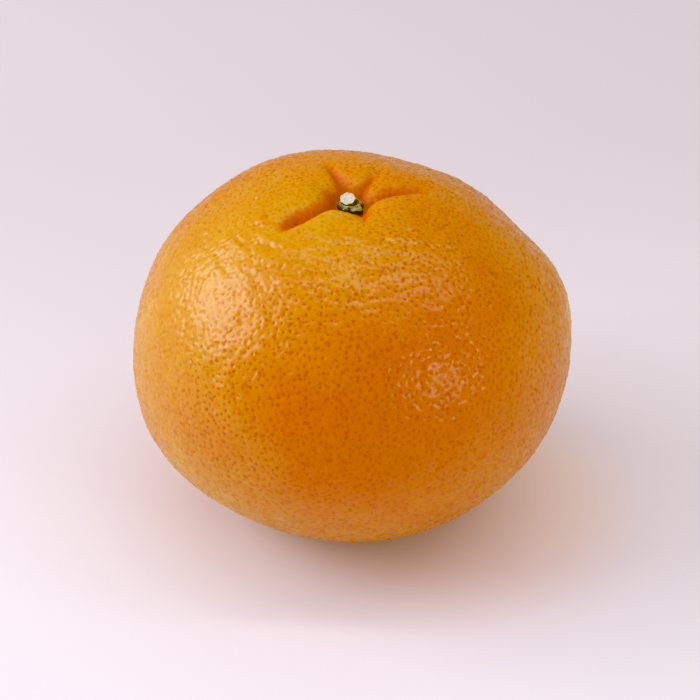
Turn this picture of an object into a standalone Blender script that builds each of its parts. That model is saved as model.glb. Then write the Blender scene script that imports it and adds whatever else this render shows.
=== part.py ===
# A harumi mandarin, whole, resting on a small flat spot with its sunk stem end up.
#
# Frame: +Z up, origin on the surface that the fruit rests on, below its middle. -Y is the front.
# Three pieces: the fruit, the calyx in its sunk stem end, and the clipped stub of the stalk.

import math
import random

import bmesh
import bpy
import numpy as np
from mathutils import kdtree

MM = 0.001

# Body: a squat ellipsoid, slightly fuller above its middle than below
BODY_RADIUS = 39.7 * MM
UPPER_HALF = 33.9 * MM
LOWER_HALF = 33.8 * MM
SETTLE = 1.2 * MM                      # how far the rounded bottom is pressed flat
SETTLE_BLEND = 0.6 * MM                # how softly the flat spot runs into the bottom
CENTRE_HEIGHT = LOWER_HALF - SETTLE

# Broad swells and flats of the flanks: degrees from the top, azimuth, height in mm, width in degrees
SWELLS = (
    (72, 4, 1.15, 16),                 # fullest place of the right flank
    (55, 17, -1.5, 15),                # flat below the right-hand crease
    (34, 54, -1.4, 14),                # valley that carries on from the right-back furrow
    (35, 135, 0.8, 16),                # left-back shoulder
    (57, 165, 0.3, 14),
    (82, 182, -0.4, 20),               # slightly flat left flank
    (109, 202, 0.8, 20),               # low left bulge
    (133, 233, -0.35, 18),
    (123, 324, -0.2, 20),
    (95, 75, 0.35, 24),                # the back, which carries on the same lobes
    (105, 122, -0.4, 20),
    (112, 155, 0.3, 22),
)

# Sunk stem end, a little in front of the middle: a steep inner hollow inside a wide shallow one
STEM_PLACE = (-0.1 * MM, -3.3 * MM)
INNER_DEPTH = 2.6 * MM
INNER_RADIUS = 3.4 * MM
OUTER_DEPTH = 1.35 * MM
OUTER_RADIUS = 7.5 * MM
SEAT_RADIUS = 2.5 * MM                 # flat floor that the calyx sits on
PUCKER_RADIUS = 14.5 * MM              # where the puckering has died out

# Furrows that run out from the stem, seen from above, in mm from the stem: start, end, how far the
# course bows to its left, depth, and how far the wall on its left and on its right reaches
FURROWS = (
    ((-2.5, -0.2), (-9.6, -6.6), 0.87, 3.1, 0.6, 1.1),  # front left, with a steep front wall
    ((-9.0, -6.2), (-10.3, -7.0), 0.0, 1.4, 1.3, 1.2),  # its round end
    ((-0.9, 3.2), (-3.4, 8.6), 0.0, 2.0, 0.8, 0.9),     # left back
    ((-2.2, 1.0), (-3.2, 1.6), 0.0, 1.3, 0.9, 0.9),     # left, short
    ((1.6, 2.4), (3.6, 5.6), 0.0, 1.8, 0.7, 0.7),       # right back
    ((2.4, -0.7), (7.3, 1.0), 0.0, 1.5, 0.8, 0.5),      # right
    ((7.3, 1.0), (12.0, 2.6), 0.0, 1.9, 1.4, 0.6),      # wide end of the right one
    ((1.3, -2.3), (2.2, -4.6), 0.0, 1.5, 1.2, 1.2),     # front right, under the longest lobe
    ((1.3, -2.4), (2.7, -7.8), 0.0, 0.8, 1.1, 1.2),     # shallow run of the same one
)
CREASE_ROUNDING = 0.25                 # as a share of the wall's reach
FURROW_MOUTH = 1.6 * MM                # how far a furrow takes to open at its ends

# Stylar end, underneath
DIMPLE_RADIUS = 4.2 * MM
DIMPLE_DEPTH = 0.9 * MM
BASE_RADIUS = 12.0 * MM                # no gland pits inside this radius, so that the spot is flat

# Gland pits, larger than life
PIT_SPACING = 3.7 * MM
PIT_DEPTH = 0.4 * MM
RELAX_ROUNDS = 24
RELAX_STEP = 0.35
SEED = 11

# Spacing of the plain points in the stem end and in the base
FINE_SPACING = 0.75 * MM
FINE_RADIUS = 10.0 * MM
COARSE_SPACING = 1.55 * MM

# Gap between pieces that touch
GAP = 0.3 * MM

# Calyx: a low cone with five uneven lobes, and a cup in it that holds the stub's foot
CALYX_LOBES = (
    (-58, 3.1, 1.30),                  # azimuth, length in mm, half width in mm
    (14, 2.35, 0.95),
    (95, 2.3, 0.90),
    (184, 2.35, 1.05),
    (238, 2.3, 0.90),
)
CALYX_DISC_RADIUS = 2.05 * MM
CALYX_EDGE = 0.34 * MM
CALYX_SHOULDER = 0.55 * MM
COLLAR_RADIUS = 1.80 * MM
COLLAR_HEIGHT = 0.92 * MM
CUP_RADIUS = 1.6 * MM
CUP_FLOOR = 0.4 * MM
CALYX_SPOKES = 60

# Stem stub
STUB_FOOT_RADIUS = 1.12 * MM
STUB_TOP_RADIUS = 1.38 * MM
STUB_HEIGHT = 0.95 * MM
STUB_SLANT = math.radians(19)          # the cut face leans towards the front
STUB_LEAN = -0.45 * MM                 # how far the stub's top leans to the left
STUB_SIDES = 28
STUB_RIDGES = 7
STUB_RIDGE_HEIGHT = 0.05 * MM
PITH_RADIUS = 0.42 * MM
PITH_DEPTH = 0.12 * MM


def clear_scene():
    for thing in list(bpy.data.objects):
        bpy.data.objects.remove(thing)


def paint(name, colour, roughness):
    """A plain surface for one kind of material."""
    material = bpy.data.materials.new(name)
    material.use_nodes = True
    shader = material.node_tree.nodes["Principled BSDF"]
    shader.inputs["Base Color"].default_value = (*colour, 1.0)
    shader.inputs["Roughness"].default_value = roughness
    shader.inputs["Metallic"].default_value = 0.0
    return material


def smooth(value, low, high):
    """0 below low, 1 above high, and an S-curve between."""
    t = np.clip((value - low) / (high - low), 0.0, 1.0)
    return t * t * (3.0 - 2.0 * t)


def direction(polar, azimuth):
    """Unit vector from degrees down from the top and degrees round."""
    polar, azimuth = math.radians(polar), math.radians(azimuth)
    return np.array((math.sin(polar) * math.cos(azimuth), math.sin(polar) * math.sin(azimuth),
                     math.cos(polar)))


def body_reach(units):
    """How far the plain ellipsoid reaches from its centre along unit vectors."""
    across = np.hypot(units[:, 0], units[:, 1])
    half = np.where(units[:, 2] > 0.0, UPPER_HALF, LOWER_HALF)
    return 1.0 / np.sqrt((across / BODY_RADIUS) ** 2 + (units[:, 2] / half) ** 2)


def swell_height(units):
    """Sum of the broad swells, along unit vectors."""
    total = np.zeros(len(units))
    for polar, azimuth, height, width in SWELLS:
        angle = np.degrees(np.arccos(np.clip(units @ direction(polar, azimuth), -1.0, 1.0)))
        total += height * MM * np.exp(-(angle / width) ** 2)
    return total


def furrow_depth(x, y):
    """Depth of the furrows that run out from the stem, at places seen from above."""
    x, y = x - STEM_PLACE[0], y - STEM_PLACE[1]
    total = np.zeros(len(x))
    for start, end, bow, depth, left, right in FURROWS:
        start, end = np.array(start) * MM, np.array(end) * MM
        length = math.hypot(*(end - start))
        run = (end - start) / length
        along = (x - start[0]) * run[0] + (y - start[1]) * run[1]
        share = np.clip(along / length, 0.0, 1.0)
        aside = (y - start[1]) * run[0] - (x - start[0]) * run[1]
        aside -= bow * MM * 4.0 * share * (1.0 - share)
        beyond = (along - share * length) / FURROW_MOUTH
        wall = np.where(aside > 0.0, left, right) * MM
        away = np.sqrt((aside / wall) ** 2 + beyond ** 2 + CREASE_ROUNDING ** 2) - CREASE_ROUNDING
        total += depth * MM * (1.0 - 0.45 * share) * np.exp(-away)
    return total


def from_stem(x, y):
    """Distance from the stem, at places seen from above."""
    return np.hypot(x - STEM_PLACE[0], y - STEM_PLACE[1])


def hollow_depth(away):
    """Depth of the sunk stem end without its furrows, at a distance from the stem."""
    inner = INNER_DEPTH * np.exp(-(away / INNER_RADIUS) ** 2)
    return inner + OUTER_DEPTH * np.exp(-(away / OUTER_RADIUS) ** 2)


def seat_height():
    """Height of the flat floor that the calyx sits on."""
    aside = math.hypot(*STEM_PLACE) / BODY_RADIUS
    return CENTRE_HEIGHT + UPPER_HALF * math.sqrt(1.0 - aside ** 2) - hollow_depth(0.0)


def sink_stem_end(points):
    """Lowers the top into the hollow, with its furrows and the seat of the calyx."""
    x, y = points[:, 0], points[:, 1]
    away = from_stem(x, y)
    top = points[:, 2] > CENTRE_HEIGHT
    sunk = points[:, 2] - np.where(top, hollow_depth(away) + furrow_depth(x, y), 0.0)
    seated = np.where(top, smooth(-away, -SEAT_RADIUS * 1.25, -SEAT_RADIUS), 0.0)
    points[:, 2] = sunk * (1.0 - seated) + seat_height() * seated


def settle(points):
    """Presses the bottom onto the surface and hollows the stylar dimple."""
    height = points[:, 2]
    blend = (height + SETTLE_BLEND) ** 2 / (4.0 * SETTLE_BLEND)
    height = np.where(height < -SETTLE_BLEND, 0.0, np.where(height > SETTLE_BLEND, height, blend))
    away = np.hypot(points[:, 0], points[:, 1]) / DIMPLE_RADIUS
    below = points[:, 2] < CENTRE_HEIGHT
    dimple = np.where(below, np.clip(1.0 - away ** 2, 0.0, 1.0) ** 2, 0.0)
    points[:, 2] = height + DIMPLE_DEPTH * dimple


def fruit_surface(units, sunk):
    """Points of the fruit along unit vectors from its centre, with pits as deep as sunk says."""
    points = units * (body_reach(units) + swell_height(units) - sunk)[:, None]
    points[:, 2] += CENTRE_HEIGHT
    sink_stem_end(points)
    settle(points)
    return points


def spread_over_sphere(count):
    """Seeded random points on the unit sphere, pushed apart until they are about even."""
    rng = random.Random(SEED)
    points = np.array([[rng.gauss(0.0, 1.0) for _ in range(3)] for _ in range(count)])
    points /= np.linalg.norm(points, axis=1)[:, None]
    near = math.sqrt(4.0 * math.pi / count) * 1.1
    for _ in range(RELAX_ROUNDS):
        tree = kdtree.KDTree(count)
        for index, point in enumerate(points):
            tree.insert(point, index)
        tree.balance()
        push = np.zeros_like(points)
        for index, point in enumerate(points):
            for other, _, distance in tree.find_n(point, 7)[1:]:
                if 0.0 < distance < near:
                    push[index] += (point - np.array(other)) / distance * (near - distance)
        points += RELAX_STEP * push
        points /= np.linalg.norm(points, axis=1)[:, None]
    return points


def hull_faces(units):
    """Triangles between points on the unit sphere, as index triples."""
    mesh = bmesh.new()
    for unit in units:
        mesh.verts.new(unit)
    bmesh.ops.convex_hull(mesh, input=mesh.verts)
    mesh.verts.index_update()
    bmesh.ops.triangulate(mesh, faces=mesh.faces)
    faces = [[corner.index for corner in face.verts] for face in mesh.faces]
    mesh.free()
    return faces


def lattice(radius, inner, spacing):
    """Places of a triangular lattice between two radii."""
    steps = int(radius / spacing) + 2
    rows = []
    for row in range(-2 * steps, 2 * steps + 1):
        for column in range(-2 * steps, 2 * steps + 1):
            x = (column + 0.5 * (row % 2)) * spacing
            y = row * spacing * math.sqrt(3.0) / 2.0
            if inner <= math.hypot(x, y) < radius:
                rows.append((x, y))
    return np.array(rows)


def lift_to_sphere(places, half):
    """Unit vectors from the fruit's centre to places on the top (half > 0) or bottom."""
    squared = (places ** 2).sum(axis=1) / BODY_RADIUS ** 2
    height = half * np.sqrt(1.0 - squared)
    units = np.column_stack((places, height))
    return units / np.linalg.norm(units, axis=1)[:, None]


def fruit_points():
    """Unit vectors of every point of the fruit's surface, and how deep each one is sunk."""
    area = 4.0 * math.pi * ((BODY_RADIUS + UPPER_HALF) / 2.0) ** 2
    pits = spread_over_sphere(int(area / (PIT_SPACING ** 2 * math.sqrt(3.0) / 2.0)))
    ridges = np.array([pits[face].mean(axis=0) for face in hull_faces(pits)])
    ridges /= np.linalg.norm(ridges, axis=1)[:, None]

    stem_end = np.vstack((lattice(FINE_RADIUS, 0.0, FINE_SPACING),
                          lattice(PUCKER_RADIUS, FINE_RADIUS, COARSE_SPACING)))
    base = lattice(BASE_RADIUS, 0.0, COARSE_SPACING)
    plain = np.vstack((lift_to_sphere(stem_end + STEM_PLACE, UPPER_HALF),
                       lift_to_sphere(base, -LOWER_HALF)))

    def outside(units, margin):
        x, y = (units[:, :2] * body_reach(units)[:, None]).T
        at_top = units[:, 2] > 0.0
        past = np.where(at_top, from_stem(x, y) - PUCKER_RADIUS, np.hypot(x, y) - BASE_RADIUS)
        return units[past > margin]

    pits = outside(pits, 0.5 * PIT_SPACING)
    ridges = outside(ridges, 0.2 * PIT_SPACING)
    units = np.vstack((pits, ridges, plain))
    sunk = np.zeros(len(units))
    sunk[:len(pits)] = PIT_DEPTH
    return units, sunk


def mesh_object(name, points, faces, material):
    mesh = bpy.data.meshes.new(name)
    mesh.from_pydata([tuple(point) for point in points], [], faces)
    mesh.shade_smooth()
    mesh.materials.append(material)
    thing = bpy.data.objects.new(name, mesh)
    bpy.context.collection.objects.link(thing)
    return thing


def face_outward(thing):
    work = bmesh.new()
    work.from_mesh(thing.data)
    bmesh.ops.recalc_face_normals(work, faces=work.faces)
    work.to_mesh(thing.data)
    work.free()


def make_fruit():
    units, sunk = fruit_points()
    faces = hull_faces(units)
    rind = paint("rind", (0.68, 0.25, 0.015), 0.38)
    thing = mesh_object("fruit", fruit_surface(units, sunk), faces, rind)
    face_outward(thing)


def calyx_edge(azimuth):
    """Radius of the calyx's edge at one azimuth in degrees."""
    radius = CALYX_DISC_RADIUS
    for middle, length, half_width in CALYX_LOBES:
        turn = abs((azimuth - middle + 180.0) % 360.0 - 180.0)
        spread = math.degrees(half_width * MM / CALYX_DISC_RADIUS)
        share = max(0.0, 1.0 - turn / spread)
        grown = (length * MM - CALYX_DISC_RADIUS) * (1.0 - (1.0 - share) ** 2)
        radius = max(radius, CALYX_DISC_RADIUS + grown)
    return radius


def calyx_rings(edge):
    """Cross-section of the calyx where its edge has this radius, from underneath round to the cup."""
    outer = max(edge - COLLAR_RADIUS, 0.0)
    return (
        (edge * 0.5, 0.0),
        (edge * 0.93, 0.0),
        (edge, CALYX_EDGE * 0.45),
        (edge - 0.10 * MM, CALYX_EDGE),
        (COLLAR_RADIUS + outer * 0.35, CALYX_SHOULDER),
        (COLLAR_RADIUS + 0.06 * MM, COLLAR_HEIGHT * 0.8),
        (COLLAR_RADIUS - 0.06 * MM, COLLAR_HEIGHT),
        (CUP_RADIUS, COLLAR_HEIGHT * 0.95),
        (CUP_RADIUS - 0.04 * MM, CUP_FLOOR),
    )


def fan_and_bands(rings, spokes):
    """Faces of a stack of rings, closed by a point at each end."""
    first, last = rings * spokes, rings * spokes + 1
    faces = []
    for spoke in range(spokes):
        after = (spoke + 1) % spokes
        faces.append((first, after, spoke))
        faces.append((last, (rings - 1) * spokes + spoke, (rings - 1) * spokes + after))
        for ring in range(rings - 1):
            low, high = ring * spokes, (ring + 1) * spokes
            faces.append((low + spoke, low + after, high + after, high + spoke))
    return faces


def make_calyx():
    floor = seat_height() + GAP
    spokes = [360.0 * spoke / CALYX_SPOKES for spoke in range(CALYX_SPOKES)]
    profiles = [calyx_rings(calyx_edge(azimuth)) for azimuth in spokes]
    rings = len(profiles[0])
    points = []
    for ring in range(rings):
        for azimuth, profile in zip(spokes, profiles):
            radius, height = profile[ring]
            place = direction(90, azimuth) * radius
            points.append((STEM_PLACE[0] + place[0], STEM_PLACE[1] + place[1], floor + height))
    points.append((*STEM_PLACE, floor))
    points.append((*STEM_PLACE, floor + CUP_FLOOR))
    husk = paint("calyx", (0.14, 0.12, 0.04), 0.7)
    face_outward(mesh_object("calyx", points, fan_and_bands(rings, CALYX_SPOKES), husk))


def make_stem_stub():
    foot = seat_height() + GAP + CUP_FLOOR + GAP
    rings = ((0.88, 0.0), (1.0, 0.06), (0.98, 0.45), (1.02, 0.8), (1.0, 0.93), (0.92, 1.0))
    points = []
    for widen, up in rings:
        for side in range(STUB_SIDES):
            azimuth = 2.0 * math.pi * side / STUB_SIDES
            radius = STUB_FOOT_RADIUS + (STUB_TOP_RADIUS - STUB_FOOT_RADIUS) * up
            radius = radius * widen + STUB_RIDGE_HEIGHT * math.cos(STUB_RIDGES * azimuth)
            x, y = radius * math.cos(azimuth), radius * math.sin(azimuth)
            height = STUB_HEIGHT + y * math.tan(STUB_SLANT)
            points.append((x + STUB_LEAN * up, y, foot + up * height))
    for side in range(STUB_SIDES):
        azimuth = 2.0 * math.pi * side / STUB_SIDES
        x, y = PITH_RADIUS * math.cos(azimuth), PITH_RADIUS * math.sin(azimuth)
        height = STUB_HEIGHT + y * math.tan(STUB_SLANT)
        points.append((x + STUB_LEAN, y, foot + height))
    points.append((0.0, 0.0, foot))
    points.append((STUB_LEAN, 0.0, foot + STUB_HEIGHT - PITH_DEPTH))
    points = np.array(points) + (*STEM_PLACE, 0.0)
    wood = paint("stem", (0.48, 0.42, 0.30), 0.8)
    face_outward(mesh_object("stem_stub", points, fan_and_bands(len(rings) + 1, STUB_SIDES), wood))


clear_scene()
make_fruit()
make_calyx()
make_stem_stub()
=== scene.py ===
import math

import bpy
import numpy as np
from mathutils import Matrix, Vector, kdtree, noise
from mathutils.geometry import delaunay_2d_cdt


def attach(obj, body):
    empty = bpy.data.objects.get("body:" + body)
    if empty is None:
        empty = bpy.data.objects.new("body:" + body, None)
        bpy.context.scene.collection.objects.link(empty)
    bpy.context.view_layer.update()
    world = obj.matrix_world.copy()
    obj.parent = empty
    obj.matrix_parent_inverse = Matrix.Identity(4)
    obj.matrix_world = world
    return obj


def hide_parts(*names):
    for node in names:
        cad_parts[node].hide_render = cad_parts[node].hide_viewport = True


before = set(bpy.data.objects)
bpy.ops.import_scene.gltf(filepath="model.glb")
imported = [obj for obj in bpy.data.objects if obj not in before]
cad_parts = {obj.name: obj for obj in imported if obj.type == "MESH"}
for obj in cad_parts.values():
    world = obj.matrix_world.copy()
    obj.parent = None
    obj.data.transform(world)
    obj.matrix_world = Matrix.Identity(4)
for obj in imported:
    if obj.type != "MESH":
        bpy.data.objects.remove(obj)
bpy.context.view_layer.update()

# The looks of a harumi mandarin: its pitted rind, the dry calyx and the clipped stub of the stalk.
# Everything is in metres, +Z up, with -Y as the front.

MM = 0.001
SEED = 7                               # starts all random draws, so that each run gives the same

# Body: a squat ellipsoid, slightly fuller above its middle than below
BODY_RADIUS = 39.7 * MM
UPPER_HALF = 33.9 * MM
LOWER_HALF = 33.8 * MM
SETTLE = 1.2 * MM
SETTLE_BLEND = 0.6 * MM
CENTRE_HEIGHT = LOWER_HALF - SETTLE

# Broad swells and flats of the flanks: degrees from the top, azimuth, height in mm, width in degrees
SWELLS = (
    (72, 4, 1.15, 16),
    (55, 17, -1.5, 15),
    (34, 54, -1.4, 14),
    (35, 135, 0.8, 16),
    (57, 165, 0.3, 14),
    (82, 182, -0.4, 20),
    (109, 202, 0.8, 20),
    (133, 233, -0.35, 18),
    (123, 324, -0.2, 20),
    (95, 75, 0.35, 24),
    (105, 122, -0.4, 20),
    (112, 155, 0.3, 22),
)

# Sunk stem end, a little in front of the middle
STEM_PLACE = (-0.1 * MM, -3.3 * MM)
INNER_DEPTH = 2.6 * MM
INNER_RADIUS = 3.4 * MM
OUTER_DEPTH = 1.35 * MM
OUTER_RADIUS = 7.5 * MM
SEAT_RADIUS = 2.5 * MM
SEAT_BLEND = 1.25                      # the seat runs into the hollow up to this share of its radius

# Furrows seen from above, in mm from the stem: start, end, bow to the left, depth, reach of left
# and of right wall
FURROWS = (
    ((-2.5, -0.2), (-9.6, -6.6), 0.87, 3.1, 0.6, 1.1),
    ((-9.0, -6.2), (-10.3, -7.0), 0.0, 1.4, 1.3, 1.2),
    ((-0.9, 3.2), (-3.4, 8.6), 0.0, 2.0, 0.8, 0.9),
    ((-2.2, 1.0), (-3.2, 1.6), 0.0, 1.3, 0.9, 0.9),
    ((1.6, 2.4), (3.6, 5.6), 0.0, 1.8, 0.7, 0.7),
    ((2.4, -0.7), (7.3, 1.0), 0.0, 1.5, 0.8, 0.5),
    ((7.3, 1.0), (12.0, 2.6), 0.0, 1.9, 1.4, 0.6),
    ((1.3, -2.3), (2.2, -4.6), 0.0, 1.5, 1.2, 1.2),
    ((1.3, -2.4), (2.7, -7.8), 0.0, 0.8, 1.1, 1.2),
)
CREASE_ROUNDING = 0.25                 # of the bottom, as a share of a wall's reach
FURROW_MOUTH = 1.6 * MM                # how far a furrow fades beyond its ends
FURROW_FADE = 0.45                     # share of its depth that it loses on the way out

# Stylar end, underneath
DIMPLE_RADIUS = 4.2 * MM
DIMPLE_DEPTH = 0.9 * MM

# Tone of the rind from deep orange to yellow, with painted light on it: the patches make it yellower
# where the lights fall and towards the rims, and deep orange where the front lies in shade; they are
# given as degrees from the top, azimuth, amount and width in degrees
TONE_BASE = 0.48
LIT_YELLOW_PATCHES = (
    (78, -86, -0.57, 40),
    (62, -30, -0.12, 34),
    (30, -112, 0.40, 26),
    (72, 200, 0.38, 36),
    (118, -122, 0.25, 30),
    (88, 5, 0.45, 24),
    (85, 65, -0.25, 40),
)

# Oil glands of the rind
GLAND_SPACING = 1.32 * MM
GLAND_SCATTER = 0.34                   # random shift of a gland, as a share of the spacing
GLAND_ROUNDS = 3                       # times that they are pushed apart
GLAND_PUSH = 0.35                      # share of a missing distance that one time gives back
GLAND_NEIGHBOURS = 6
GLAND_RADIUS = 0.48 * MM
GLAND_RING = 5
GLAND_RING_SIZES = (0.82, 1.12)        # least and greatest, as a share of the radius
GLAND_DEPTH = 0.185 * MM
GLAND_DEPTHS = (0.6, 1.0)              # least and greatest, as a share of the depth
GLAND_DARKNESS = (0.45, 1.0)           # of their colour, least and greatest
RING_SHARE = 0.45                      # depth of the ring round a gland, as a share of the gland's
RIDGE_SCATTER = 0.033 * MM             # random height of each point of the rind
GLAND_PALING = 0.55                    # share of their colour that they lose where painted light makes the rind yellow
GLAND_PALING_LIT = (0.4, 0.9)         # levels of the painted yellowing where that begins and is complete

# Unevenness of the rind: size of the waves, their height, both in mm
WAVES = ((1.1, 0.045), (1.8, 0.08), (3.2, 0.12), (6.5, 0.12), (15.0, 0.07))
WAVE_SHIFT = (17.3, 5.1, 9.7)          # keeps waves of different sizes apart

# Wrinkles over the front of the shoulder, which run round the stem end
WRINKLE_POLAR = 36.0                   # middle of their band, in degrees from the top
WRINKLE_WIDTH = 11.0                   # spread of the band to each side, in degrees
WRINKLE_STEP = 2.3                     # degrees down that change one wrinkle into the next
WRINKLE_TURN = 4.5                     # how finely they break up on their way round
WRINKLE_FRONT = (0.1, 0.45)            # how far to the front they begin and are complete
WRINKLE_HEIGHT = 0.36 * MM

# Plain points between the glands in the stem end
FINE_SPACING = 0.42 * MM
FINE_RADIUS = 9.0 * MM
FINE_CLEAR = 1.35                      # least distance to a gland's middle, in radii of the gland

# Places that the glands keep clear of: the seat of the calyx, and a small ring round the lowest point
SEAT_CLEAR = 1.3                       # in radii of the seat
POLE_RING = 0.5 * MM
POLE_SIDES = 8
POLE_CLEAR = 2.5                       # in radii of the ring

# Dry calyx: its lobes as azimuth, length and half width in mm
CALYX_LOBES = (
    (-58, 3.1, 1.30),
    (14, 2.35, 0.95),
    (95, 2.3, 0.90),
    (184, 2.35, 1.05),
    (238, 2.3, 0.90),
)
CALYX_DISC_RADIUS = 2.05 * MM
CALYX_EDGE = 0.34 * MM
CALYX_SHOULDER = 0.55 * MM
COLLAR_RADIUS = 1.80 * MM
COLLAR_HEIGHT = 0.92 * MM
CUP_RADIUS = 1.50 * MM
CUP_FLOOR = 0.4 * MM
GAP = 0.3 * MM                         # the solids stand this far apart
CALYX_FOOT = -0.27 * MM                # reaches down over the gap
CALYX_SPOKES = 240
CALYX_ROWS = 46
CALYX_TEAR = 0.22 * MM                 # unevenness of the lobes' edge
CALYX_TEAR_ANGLE = 5.0                 # width of one tear, in degrees
CALYX_TEAR_BLEND = 0.5 * MM            # the disc between the lobes has no tears
CALYX_TEAR_PLACE = 3.7                 # where in the noise the tears are taken from
CALYX_CURL = 0.45 * MM                 # rise of a lobe 1 mm past the collar
CALYX_CURL_ANGLE = 34.0                # width of one curl, in degrees
CALYX_CURL_PLACE = 8.1                 # where in the noise the curls are taken from
CALYX_CURL_LIMITS = (-0.3, 1.0)
CALYX_LUMPS = ((0.9 * MM, 0.07 * MM), (0.35 * MM, 0.035 * MM))     # size and height
CALYX_MARGIN = 0.72 * MM               # width of the dead, blackened edge
CALYX_RIM_MARGIN = 0.3 * MM            # height over which the rim of the cup is partly dead
CALYX_RIM_DEAD = 0.40                  # how dead it is, where the lobes' edge is 1
CALYX_PINK_AZIMUTH = 25.0
CALYX_PINK_SPREAD = 35.0
CALYX_PINK_FROM = 0.1                  # mm past the collar

# Clipped stub of the stalk
STUB_FOOT_RADIUS = 1.18 * MM
STUB_TOP_RADIUS = 1.38 * MM
STUB_HEIGHT = 1.28 * MM
STUB_SLANT = math.radians(19)          # the cut face leans towards the front
STUB_SIDE_SLANT = math.radians(3)
STUB_LEAN = -0.45 * MM
STUB_SIDES = 84
STUB_ROWS = 22
STUB_FACE_ROWS = 12
STUB_RIDGES = 7
STUB_RIDGE_HEIGHT = 0.05 * MM
STUB_SUNK = 0.05 * MM                  # how far its foot is below the floor of the cup
STUB_WAIST = 0.035                     # share of its radius that it is narrower halfway up
STUB_WEAR = 0.07                       # share of its radius that is worn off at the top
STUB_WEAR_SPAN = (0.9, 1.0)            # share of its height where that begins and is complete
STUB_CUT_SPAN = (0.94, 1.0)            # share of its height where the bark turns into the cut
STUB_CUT_SHARE = 0.8                   # how much of the cut the topmost ring of the side is
STUB_FACE_RADIUS = 0.93                # of the cut, as a share of the radius at the top
STUB_FACE_SPAN = (0.92, 0.08)          # outermost and innermost ring of the cut
STUB_LUMPS = ((0.55 * MM, 0.07 * MM), (0.2 * MM, 0.025 * MM))      # size and height
PITH_DEPTH = 0.12 * MM
PITH_EDGE = 0.45                       # share of the cut's radius within which the pith sinks
PITH_CORE = 0.15                       # and within which it is fully sunk

# Colours
RIND_DEEP = (0.635, 0.130, 0.002)
RIND_YELLOW = (0.67, 0.322, 0.020)
RIND_PALE = (0.69, 0.330, 0.022)
GLAND_DEEP = (0.50, 0.060, 0.0)
# Painted shade down in the furrows
FURROW_SHADE = (0.60, 0.088, 0.002)
SCRATCH_BROWN = (0.16, 0.055, 0.004)
SPOT_ORANGE = (0.55, 0.075, 0.003)
SPOT_DARK_ORANGE = (0.50, 0.070, 0.003)
SPECK_BLACK = (0.04, 0.012, 0.004)
SCAR_BROWN = (0.30, 0.13, 0.030)
SCAR_DARK = (0.07, 0.035, 0.012)
HUSK_OLIVE = (0.25, 0.185, 0.075)
HUSK_STRAW = (0.50, 0.39, 0.170)
HUSK_PINK = (0.50, 0.34, 0.23)
HUSK_CRUMB = (0.045, 0.030, 0.015)
HUSK_BLACK = (0.014, 0.006, 0.004)
WOOD_CREAM = (0.78, 0.68, 0.53)
WOOD_GREY = (0.52, 0.46, 0.39)
WOOD_PITH = (0.66, 0.66, 0.68)
WOOD_SPECK = (0.20, 0.16, 0.10)
BARK_DARK = (0.022, 0.015, 0.010)
BARK_PALE = (0.20, 0.115, 0.080)
FLOOR_FRONT = (0.89, 0.835, 0.915)
# Painted shade: the floor darker towards the back
FLOOR_BACK_SHADE = (0.71, 0.632, 0.685)
# Painted shadow beside the fruit, warm from the light that the fruit throws on it
FLOOR_WARM_SHADOW = (0.90, 0.765, 0.76)
ROOM_FRONT = (0.93, 0.915, 1.01)
ROOM_BACK = (0.95, 0.80, 0.60)

# Patterns: size, detail and roughness of the waves, then the two levels that they are read between,
# and what they give there if it isn't 0 and 1
RIPE_PATTERN = ((14 * MM, 3.0), (0.3, 0.7, -0.13, 0.13))
FRECKLE_PATTERN = ((1.1 * MM, 3.0), (0.45, 0.75, 0.0, 0.22))
WAX_PATTERN = ((2.3 * MM, 2.0), (0.3, 0.7, 0.22, 0.30))
GRAIN_PATTERN = ((0.45 * MM, 3.0, 0.6), (0.0, 1.0, 0.0, 0.5))
HUSK_PATTERN = ((0.9 * MM, 4.0, 0.6), (0.38, 0.62))
CRUMB_PATTERN = ((0.35 * MM, 3.0, 0.6), (0.56, 0.66, 0.0, 0.8))
CELL_PATTERN = ((0.30 * MM, 4.0, 0.65), (0.40, 0.68))
SPECK_PATTERN = ((0.26 * MM, 2.0), (0.60, 0.68, 0.0, 0.75))
FIBRE_PATTERN = ((0.5 * MM, 4.0, 0.6), (0.40, 0.62))
RAGGED_WAVES = (0.5 * MM, 3.0)
DEAD_WAVES = (0.6 * MM, 3.0)
HUSK_BUMP_WAVES = (0.22 * MM, 3.0, 0.6)
WOOD_BUMP_WAVES = (0.16 * MM, 3.0, 0.6)

# Levels that other values are read between, and what they give there if it isn't 0 and 1
PALE_LEVELS = (0.7, 1.0)
# Depths of a furrow over which its painted shade comes in
FOLD_SHADE_LEVELS = (0.12, 0.50, 0.0, 0.9)
DOT_LEVELS = (0.08, 0.38, 0.85, 0.0)
# The small dots fade where painted light makes the rind yellow
DOT_LIT_LEVELS = (0.4, 0.9, 1.0, 0.45)
GLAND_LEVELS = (0.0, 0.72, 0.0, 0.95)
HOLE_LEVELS = (0.0, 0.9, 0.0, -0.8)
DULL_LEVELS = (0.05, 0.6, 0.0, 0.32)
PINK_LEVELS = (0.2, 0.9, 0.0, 0.85)
DEAD_LEVELS = (0.92, 1.20)
CORE_LEVELS = (0.35, 0.95, 0.0, 0.75)
CUT_LEVELS = (0.35, 0.65)
HUSK_ROUGH_LEVELS = (0.0, 1.0, 0.55, 0.75)
WOOD_ROUGH_LEVELS = (0.0, 1.0, 0.62, 0.82)

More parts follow.
